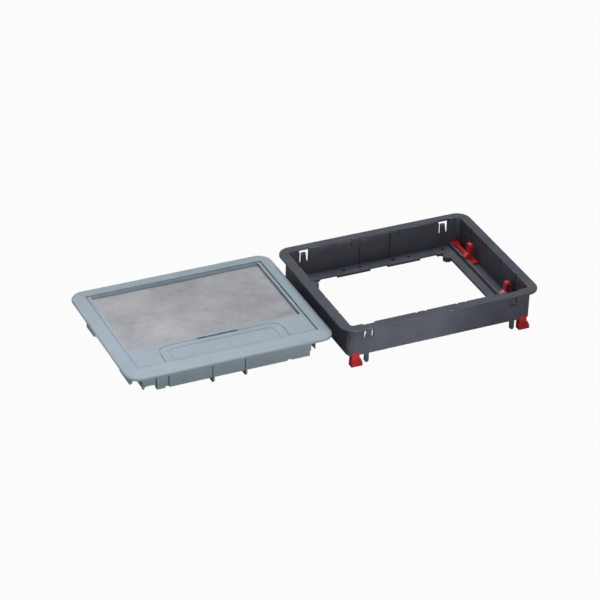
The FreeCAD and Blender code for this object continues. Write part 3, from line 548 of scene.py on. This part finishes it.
def glossy_plastic(name, colour, dust):
    """Smooth moulded plastic with a slightly wavy skin; on the claws its paler tone on upward faces is part
    dust, part painted highlight.
    """
    material, tree, shader, place = blank_material(name)
    shader.inputs["Specular IOR Level"].default_value = 0.9
    grain = place_group(tree, shared("mould_grain", grain_group), place, {"Grain per Metre": 320.0})
    marks = place_group(tree, shared("handling_marks", scratch_group), place, {"Amount": 0.05})
    dust_and_highlight_mask = place_group(tree, shared("settled_dust", dust_and_highlight_group), place, {"Amount": dust})
    cloudy = mix_colours(tree, grain.outputs["Gloss"], darker(colour, 0.1), colour)
    marked = mix_colours(tree, marks.outputs["Mask"], cloudy, lighter(colour, 0.3))
    # Paler on upward faces: dust, and on the claws a painted highlight on their tops.
    dust_and_highlight_colour = mix_colours(tree, dust_and_highlight_mask.outputs["Mask"], marked, lighter(colour, 0.6))
    tree.links.new(dust_and_highlight_colour, shader.inputs["Base Color"])
    drive_roughness(tree, shader, grain.outputs["Gloss"], low=0.24, high=0.34)
    drive_bump(tree, shader, grain.outputs["Height"], depth=0.03 * MM, strength=0.2)
    return material


def zinc_sheet(name, colour, tarnish, roughness):
    """Zinc-coated sheet steel: short cloudy streaks along the rolling direction and patches of tarnish."""
    material, tree, shader, place = blank_material(name, metallic=0.35)
    streaks = place_group(tree, shared("rolled_streaks", streak_group), place,
                          {"Stretch": (100.0, 130.0, 130.0), "Detail": 6.0})
    clouds = place_group(tree, shared("rolled_streaks", streak_group), place,
                         {"Stretch": (15.0, 19.0, 19.0), "Detail": 6.0})
    streaked = mix_colours(tree, streaks.outputs["Mask"], darker(colour, 0.17), lighter(colour, 0.06))
    hazy = add_node(tree, "ShaderNodeMapRange", {"From Min": 0.3, "From Max": 1.0, "To Max": 0.8})
    tree.links.new(clouds.outputs["Mask"], hazy.inputs["Value"])
    tarnished = mix_colours(tree, hazy.outputs["Result"], streaked, tarnish)
    tree.links.new(tarnished, shader.inputs["Base Color"])
    drive_roughness(tree, shader, streaks.outputs["Mask"], low=roughness - 0.06, high=roughness + 0.1)
    drive_bump(tree, shader, streaks.outputs["Fine"], depth=0.03 * MM, strength=0.25)
    return material


def plated_steel(name, colour):
    """Bright plated steel with fine turning marks."""
    material, tree, shader, place = blank_material(name, metallic=1.0)
    bands = place_group(tree, shared("rolled_streaks", streak_group), place,
                        {"Stretch": (500.0, 500.0, 1600.0), "Detail": 2.0})
    toned = mix_colours(tree, bands.outputs["Mask"], darker(colour, 0.18), colour)
    tree.links.new(toned, shader.inputs["Base Color"])
    drive_roughness(tree, shader, bands.outputs["Mask"], low=0.22, high=0.36)
    drive_bump(tree, shader, bands.outputs["Fine"], depth=0.02 * MM, strength=0.3)
    return material


def foam(name, colour):
    """Closed-cell foam rubber: small open cells on a dull skin."""
    material, tree, shader, place = blank_material(name)
    cells = add_node(tree, "ShaderNodeTexVoronoi", {"Scale": 1500.0, "Randomness": 1.0})
    tree.links.new(place, cells.inputs["Vector"])
    spread = add_node(tree, "ShaderNodeMapRange", {"From Min": 0.1, "From Max": 0.6})
    tree.links.new(cells.outputs["Distance"], spread.inputs["Value"])
    toned = mix_colours(tree, spread.outputs["Result"], lighter(colour, 0.06), darker(colour, 0.5))
    tree.links.new(toned, shader.inputs["Base Color"])
    drive_roughness(tree, shader, spread.outputs["Result"], low=0.75, high=0.95)
    drive_bump(tree, shader, spread.outputs["Result"], depth=0.15 * MM, strength=0.6)
    return material


def dress(names, material, edge_round):
    """Gives CAD nodes their finish, and rounds their sharp edges."""
    for name in names:
        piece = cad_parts[name]
        piece.data.materials.clear()
        piece.data.materials.append(material)
        if edge_round > 0.0:
            round_edges(piece, edge_round)


def round_edges(piece, width):
    """Joins the loose faces of a piece and gives its sharp edges a small rounding."""
    weld = piece.modifiers.new("join_faces", "WELD")
    weld.merge_threshold = MERGE_DISTANCE
    bevel = piece.modifiers.new("round_edges", "BEVEL")
    bevel.width = width
    bevel.segments = 2
    bevel.limit_method = "ANGLE"
    bevel.angle_limit = SHARP_EDGE_ANGLE
    bevel.use_clamp_overlap = True
    bevel.harden_normals = True


def cross_outline(arm, half_width):
    """The twelve corners of a cross, one arm after the other."""
    corners = []
    for quarter in range(4):
        turn = Matrix.Rotation(quarter * math.pi / 2.0, 4, "Z")
        for corner in ((arm, -half_width), (arm, half_width), (half_width, half_width)):
            corners.append(turn @ Vector((*corner, 0.0)))
    return corners


def grow_rim(bm, rim, radius_share, drop):
    """Extrudes a ring of edges, scales it about the Z axis and lowers it."""
    grown = bmesh.ops.extrude_edge_only(bm, edges=rim)["geom"]
    verts = [part for part in grown if isinstance(part, bmesh.types.BMVert)]
    bmesh.ops.scale(bm, vec=(radius_share, radius_share, 1.0), verts=verts)
    bmesh.ops.translate(bm, vec=(0.0, 0.0, -drop), verts=verts)
    return [part for part in grown if isinstance(part, bmesh.types.BMEdge)]


def cross_screw(sides, head, rings):
    """A screw standing head up at the origin. A ring is a radius and its depth under the head's top."""
    bm = bmesh.new()
    outline = cross_outline(head * RECESS_ARM, head * RECESS_HALF_WIDTH)
    recess = bm.faces.new([bm.verts.new(corner) for corner in outline])
    outer = bmesh.ops.create_circle(bm, segments=sides, radius=rings[0][0])["verts"]
    rim = list({edge for vert in outer for edge in vert.link_edges})
    bmesh.ops.bridge_loops(bm, edges=list(recess.edges) + rim)
    radius, depth = rings[0]
    for next_radius, next_depth in rings[1:]:
        rim = grow_rim(bm, rim, next_radius / radius, next_depth - depth)
        radius, depth = next_radius, next_depth
    bmesh.ops.contextual_create(bm, geom=rim)
    sunk = bmesh.ops.extrude_discrete_faces(bm, faces=[recess])["faces"]
    floor = list({vert for face in sunk for vert in face.verts})
    bmesh.ops.scale(bm, vec=(RECESS_FLOOR_SHARE, RECESS_FLOOR_SHARE, 1.0), verts=floor)
    bmesh.ops.translate(bm, vec=(0.0, 0.0, -head * RECESS_DEPTH), verts=floor)
    bmesh.ops.recalc_face_normals(bm, faces=bm.faces)
    return bm


def copies_at(bm, spots, turn):
    """One mesh of the same screw at each spot, turned about its own middle first."""
    mesh = bpy.data.meshes.new("screws")
    whole = bmesh.new()
    single = bpy.data.meshes.new("single_screw")
    bm.to_mesh(single)
    bm.free()
    for number, spot in enumerate(spots):
        start = len(whole.verts)
        whole.from_mesh(single)
        whole.verts.ensure_lookup_table()
        own_turn = Matrix.Rotation(number * TURN_FROM_SCREW_TO_SCREW, 4, "Z")
        placed = Matrix.Translation(spot) @ turn @ own_turn
        bmesh.ops.transform(whole, matrix=placed, verts=whole.verts[start:])
    whole.to_mesh(mesh)
    whole.free()
    bpy.data.meshes.remove(single)
    return mesh


def new_piece(name, mesh, material, body, nodes):
    """An object of the scene that rides on a body and stands for CAD nodes."""
    piece = bpy.data.objects.new(name, mesh)
    bpy.context.scene.collection.objects.link(piece)
    mesh.materials.append(material)
    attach(piece, body)
    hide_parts(*nodes)
    return piece


def grid_of_spots(low, high, columns, rows, margin, z):
    """Points in even columns and rows, a margin inside a box."""
    spots = []
    for column in range(columns):
        for row in range(rows):
            x = low.x + margin + (high.x - low.x - 2.0 * margin) * column / (columns - 1)
            y = low.y + margin + (high.y - low.y - 2.0 * margin) * row / (rows - 1)
            spots.append(Vector((x, y, z)))
    return spots


class SOCKETBOX_OT_mounting_frame(bpy.types.Operator):
    """Finish of the mounting frame's moulding"""

    bl_idname = "socket_box.mounting_frame"
    bl_label = "Mounting frame"

    def execute(self, context):
        sizes = context.scene.socket_box_sizes
        colours = context.scene.socket_box_colours
        plastic = moulded_plastic("anthracite_plastic", colours.mounting, sizes.grain_pitch,
                                  roughness=0.45, dust=0.02, shine=0.35)
        dress(("mounting_frame",), plastic, sizes.edge_round)
        return {"FINISHED"}


class SOCKETBOX_OT_claws(bpy.types.Operator):
    """Finish of the four sliding claws"""

    bl_idname = "socket_box.claws"
    bl_label = "Claws"

    def execute(self, context):
        sizes = context.scene.socket_box_sizes
        colours = context.scene.socket_box_colours
        names = ("claw_front_left", "claw_front_right", "claw_back_left", "claw_back_right")
        # The claws' strong paler tone on upward faces is part dust, part a painted highlight on their tops.
        dress(names, glossy_plastic("red_plastic", colours.claw, dust=0.15), sizes.edge_round)
        return {"FINISHED"}


class SOCKETBOX_OT_cover(bpy.types.Operator):
    """Finish of the cover's moulding, the lid and the cord flap"""

    bl_idname = "socket_box.cover"
    bl_label = "Cover, lid and cord flap"

    def execute(self, context):
        sizes = context.scene.socket_box_sizes
        colours = context.scene.socket_box_colours
        plastic = moulded_plastic("grey_blue_plastic", colours.cover, sizes.grain_pitch,
                                  roughness=0.5, dust=0.06, shine=0.4)
        dress(("cover_frame", "lid_frame", "cord_flap"), plastic, sizes.cover_edge_round)
        return {"FINISHED"}


class SOCKETBOX_OT_sheet_metal(bpy.types.Operator):
    """Finish of the sheet-metal pieces of the lid"""

    bl_idname = "socket_box.sheet_metal"
    bl_label = "Sheet metal"

    def execute(self, context):
        sizes = context.scene.socket_box_sizes
        colours = context.scene.socket_box_colours
        zinc = zinc_sheet("zinc_coated_sheet", colours.zinc, colours.tarnish, roughness=0.5)
        dress(("floor_inlay", "lid_stiffener_plate"), zinc, sizes.sheet_edge_round)
        plastic = moulded_plastic("catch_cover_plastic", colours.cover, sizes.grain_pitch,
                                  roughness=0.5, dust=0.0, shine=0.4)
        dress(("catch_cover_left", "catch_cover_right"), plastic, sizes.sheet_edge_round)
        return {"FINISHED"}


class SOCKETBOX_OT_soft_pieces(bpy.types.Operator):
    """Finish of the seals, the gasket and the buffers"""

    bl_idname = "socket_box.soft_pieces"
    bl_label = "Seals, gasket and buffers"

    def execute(self, context):
        sizes = context.scene.socket_box_sizes
        colours = context.scene.socket_box_colours
        rubber = foam("black_foam", colours.rubber)
        names = ("cord_seal_front", "cord_seal_rear", "frame_gasket", "lid_buffers")
        dress(names, rubber, sizes.edge_round)
        return {"FINISHED"}


class SOCKETBOX_OT_catches(bpy.types.Operator):
    """Finish of the catch bolts, and the springs behind them"""

    bl_idname = "socket_box.catches"
    bl_label = "Catches and springs"

    def execute(self, context):
        sizes = context.scene.socket_box_sizes
        colours = context.scene.socket_box_colours
        plastic = glossy_plastic("catch_bolt_plastic", colours.catch, dust=0.0)
        dress(("lid_catch_left", "lid_catch_right"), plastic, sizes.sheet_edge_round)
        steel = plated_steel("spring_steel", colours.bright)
        for side in ("left", "right"):
            self.make_spring(side, steel)
        return {"FINISHED"}

    def make_spring(self, side, steel):
        """A copy of the spring's mesh, with its loose faces joined, that rides on the lid."""
        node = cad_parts["lid_catch_spring_" + side]
        mesh = node.data.copy()
        mesh.materials.clear()
        bm = bmesh.new()
        bm.from_mesh(mesh)
        bmesh.ops.remove_doubles(bm, verts=bm.verts, dist=MERGE_DISTANCE)
        bm.to_mesh(mesh)
        bm.free()
        spring = new_piece("catch_spring_" + side, mesh, steel, "lid", (node.name,))
        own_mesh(spring)


class SOCKETBOX_OT_pins(bpy.types.Operator):
    """Finish of the hinge pins"""

    bl_idname = "socket_box.pins"
    bl_label = "Hinge pins"

    def execute(self, context):
        colours = context.scene.socket_box_colours
        steel = plated_steel("pin_steel", colours.bright)
        names = ("lid_hinge_pin_left", "lid_hinge_pin_right", "flap_hinge_pin_left", "flap_hinge_pin_right")
        dress(names, steel, edge_round=0.0)
        return {"FINISHED"}


class SOCKETBOX_OT_screws(bpy.types.Operator):
    """Cross-recess screws of the stiffening plate and the catch covers"""

    bl_idname = "socket_box.screws"
    bl_label = "Screws"

    def execute(self, context):
        sizes = context.scene.socket_box_sizes
        colours = context.scene.socket_box_colours
        steel = plated_steel("screw_steel", colours.bright)
        upside_down = Matrix.Rotation(math.pi, 4, "X")
        self.plate_screws(sizes, steel, upside_down)
        self.catch_screws(sizes, steel, upside_down)
        return {"FINISHED"}

    def plate_screws(self, sizes, steel, upside_down):
        """Countersunk screws, flush with the underside of the stiffening plate."""
        low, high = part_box("plate_screws")
        head = sizes.plate_screw_head
        shank = sizes.plate_screw_shank
        length = high.z - low.z
        rings = (
            (head * 0.72, 0.0),
            (head, 0.02 * MM),
            (head, 0.3 * MM),
            (shank, 0.3 * MM + head - shank),
            (shank, length - shank),
            (shank * 0.35, length),
        )
        margin = head + PLATE_SCREW_MARGIN
        spots = grid_of_spots(low, high, PLATE_SCREW_COLUMNS, PLATE_SCREW_ROWS, margin, low.z)
        mesh = copies_at(cross_screw(sizes.screw_sides, head, rings), spots, upside_down)
        new_piece("stiffening_plate_screws", mesh, steel, "lid", ("plate_screws",))

    def catch_screws(self, sizes, steel, upside_down):
        """Pan-head screws under the catch covers."""
        low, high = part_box("catch_cover_screws")
        head = sizes.catch_screw_head
        shank = sizes.catch_screw_shank
        length = high.z - low.z
        rings = (
            (head * 0.66, 0.0),
            (head * 0.9, 0.25 * MM),
            (head, 0.6 * MM),
            (head, 1.0 * MM),
            (shank, 1.0 * MM),
            (shank, length - shank),
            (shank * 0.35, length),
        )
        spots = []
        margin = low.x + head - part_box("catch_cover_left")[0].x
        for side in ("left", "right"):
            cover_low, cover_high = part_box("catch_cover_" + side)
            for x in (cover_low.x + margin, cover_high.x - margin):
                spots.append(Vector((x, low.y + head, low.z)))
        mesh = copies_at(cross_screw(sizes.screw_sides, head, rings), spots, upside_down)
        new_piece("catch_plate_screws", mesh, steel, "lid", ("catch_cover_screws",))


class SOCKETBOX_OT_stage(bpy.types.Operator):
    """Pale floor, soft lamps and the camera"""

    bl_idname = "socket_box.stage"
    bl_label = "Stage"

    def execute(self, context):
        stage = context.scene.socket_box_stage
        self.make_floor(stage.floor_size)
        self.make_room(context.scene, stage.room_level)
        for name, spot, size, level in LAMPS:
            power = getattr(stage, level) * math.pi ** 2 * Vector(spot).length ** 2
            self.hang_lamp(name, spot, (0.0, 0.0, 0.0), size, power)
        for name, spot, aim, power in BEAMS:
            beam = self.hang_lamp(name, spot, aim, BEAM_SIZE, getattr(stage, power))
            beam.spread = BEAM_SPREAD
        self.make_camera(context.scene, stage)
        context.scene.view_settings.view_transform = "Standard"
        return {"FINISHED"}

    def seen_directly(self, tree):
        """A socket that is one for rays from the camera."""
        return tree.nodes.new("ShaderNodeLightPath").outputs["Is Camera Ray"]

    def make_floor(self, size):
        """A white floor that keeps the object's shadow."""
        bm = bmesh.new()
        bmesh.ops.create_grid(bm, x_segments=1, y_segments=1, size=size / 2.0)
        bmesh.ops.translate(bm, vec=(0.0, 0.0, -FLOOR_DROP), verts=bm.verts)
        mesh = bpy.data.meshes.new("floor")
        bm.to_mesh(mesh)
        bm.free()
        material = bpy.data.materials.new("white_floor")
        material.use_nodes = True
        tree = material.node_tree
        tree.nodes.clear()
        shade = (FLOOR_SHADE, FLOOR_SHADE, FLOOR_SHADE, 1.0)
        matt = add_node(tree, "ShaderNodeBsdfDiffuse", {"Color": shade})
        white = add_node(tree, "ShaderNodeEmission", {"Strength": 1.0})
        share = add_node(tree, "ShaderNodeMath", operation="MULTIPLY")
        share.inputs[1].default_value = FLOOR_WHITE_SHARE
        mixed = tree.nodes.new("ShaderNodeMixShader")
        output = tree.nodes.new("ShaderNodeOutputMaterial")
        tree.links.new(self.seen_directly(tree), share.inputs[0])
        tree.links.new(share.outputs["Value"], mixed.inputs["Fac"])
        tree.links.new(matt.outputs["BSDF"], mixed.inputs[1])
        tree.links.new(white.outputs["Emission"], mixed.inputs[2])
        tree.links.new(mixed.outputs["Shader"], output.inputs["Surface"])
        floor = bpy.data.objects.new("floor", mesh)
        mesh.materials.append(material)
        bpy.context.scene.collection.objects.link(floor)

    def make_room(self, scene, level):
        """Even room light, with a white background for what is seen directly."""
        world = bpy.data.worlds.new("room")
        scene.world = world
        world.use_nodes = True
        tree = world.node_tree
        tree.nodes.clear()
        even = add_node(tree, "ShaderNodeBackground", {"Color": WHITE, "Strength": level})
        white = add_node(tree, "ShaderNodeBackground", {"Color": WHITE, "Strength": 1.0})
        mixed = tree.nodes.new("ShaderNodeMixShader")
        output = tree.nodes.new("ShaderNodeOutputWorld")
        tree.links.new(self.seen_directly(tree), mixed.inputs["Fac"])
        tree.links.new(even.outputs["Background"], mixed.inputs[1])
        tree.links.new(white.outputs["Background"], mixed.inputs[2])
        tree.links.new(mixed.outputs["Shader"], output.inputs["Surface"])

    def hang_lamp(self, name, spot, aim, size, power):
        """A square lamp at a spot, turned towards the point it is aimed at."""
        data = bpy.data.lights.new(name, "AREA")
        data.shape = "SQUARE"
        data.size = size
        data.energy = power
        lamp = bpy.data.objects.new(name, data)
        lamp.location = spot
        lamp.rotation_euler = (Vector(spot) - Vector(aim)).to_track_quat("Z", "Y").to_euler()
        bpy.context.scene.collection.objects.link(lamp)
        return data

    def make_camera(self, scene, stage):
        """A camera at the photograph's angle."""
        turn = stage.camera_turn
        height = stage.camera_height
        away = Vector((math.sin(turn), -math.cos(turn), 0.0)) * math.cos(height)
        back = away + Vector((0.0, 0.0, math.sin(height)))
        right = Vector((math.cos(turn), math.sin(turn), 0.0))
        facing = Matrix((right, back.cross(right), back)).transposed()
        roll = Matrix.Rotation(stage.camera_roll, 3, "Z")
        data = bpy.data.cameras.new("camera")
        data.lens = stage.camera_lens
        data.sensor_width = SENSOR_WIDTH
        data.clip_end = CAMERA_REACH
        camera = bpy.data.objects.new("camera", data)
        camera.matrix_world = (facing @ roll).to_4x4()
        camera.location = Vector(stage.camera_aim) + back * stage.camera_distance
        scene.collection.objects.link(camera)
        scene.camera = camera


PIECES = (
    SOCKETBOX_OT_mounting_frame,
    SOCKETBOX_OT_claws,
    SOCKETBOX_OT_cover,
    SOCKETBOX_OT_sheet_metal,
    SOCKETBOX_OT_soft_pieces,
    SOCKETBOX_OT_catches,
    SOCKETBOX_OT_pins,
    SOCKETBOX_OT_screws,
    SOCKETBOX_OT_stage,
)


class SOCKETBOX_PT_panel(bpy.types.Panel):
    """Lists the box's pieces in the sidebar"""

    bl_idname = "SOCKETBOX_PT_panel"
    bl_label = "Socket box"
    bl_space_type = "VIEW_3D"
    bl_region_type = "UI"
    bl_category = "Socket box"

    def draw(self, context):
        for piece in PIECES:
            self.layout.operator(piece.bl_idname)


GROUPS = (SocketBoxSizes, SocketBoxColours, SocketBoxStage)


def register():
    for group in GROUPS:
        bpy.utils.register_class(group)
    for piece in PIECES:
        bpy.utils.register_class(piece)
    bpy.utils.register_class(SOCKETBOX_PT_panel)
    bpy.types.Scene.socket_box_sizes = PointerProperty(type=SocketBoxSizes)
    bpy.types.Scene.socket_box_colours = PointerProperty(type=SocketBoxColours)
    bpy.types.Scene.socket_box_stage = PointerProperty(type=SocketBoxStage)


def unregister():
    del bpy.types.Scene.socket_box_stage
    del bpy.types.Scene.socket_box_colours
    del bpy.types.Scene.socket_box_sizes
    bpy.utils.unregister_class(SOCKETBOX_PT_panel)
    for piece in reversed(PIECES):
        bpy.utils.unregister_class(piece)
    for group in reversed(GROUPS):
        bpy.utils.unregister_class(group)


def main():
    register()
    bpy.ops.socket_box.mounting_frame()
    bpy.ops.socket_box.claws()
    bpy.ops.socket_box.cover()
    bpy.ops.socket_box.sheet_metal()
    bpy.ops.socket_box.soft_pieces()
    bpy.ops.socket_box.catches()
    bpy.ops.socket_box.pins()
    bpy.ops.socket_box.screws()
    bpy.ops.socket_box.stage()


if __name__ == "__main__":
    main()
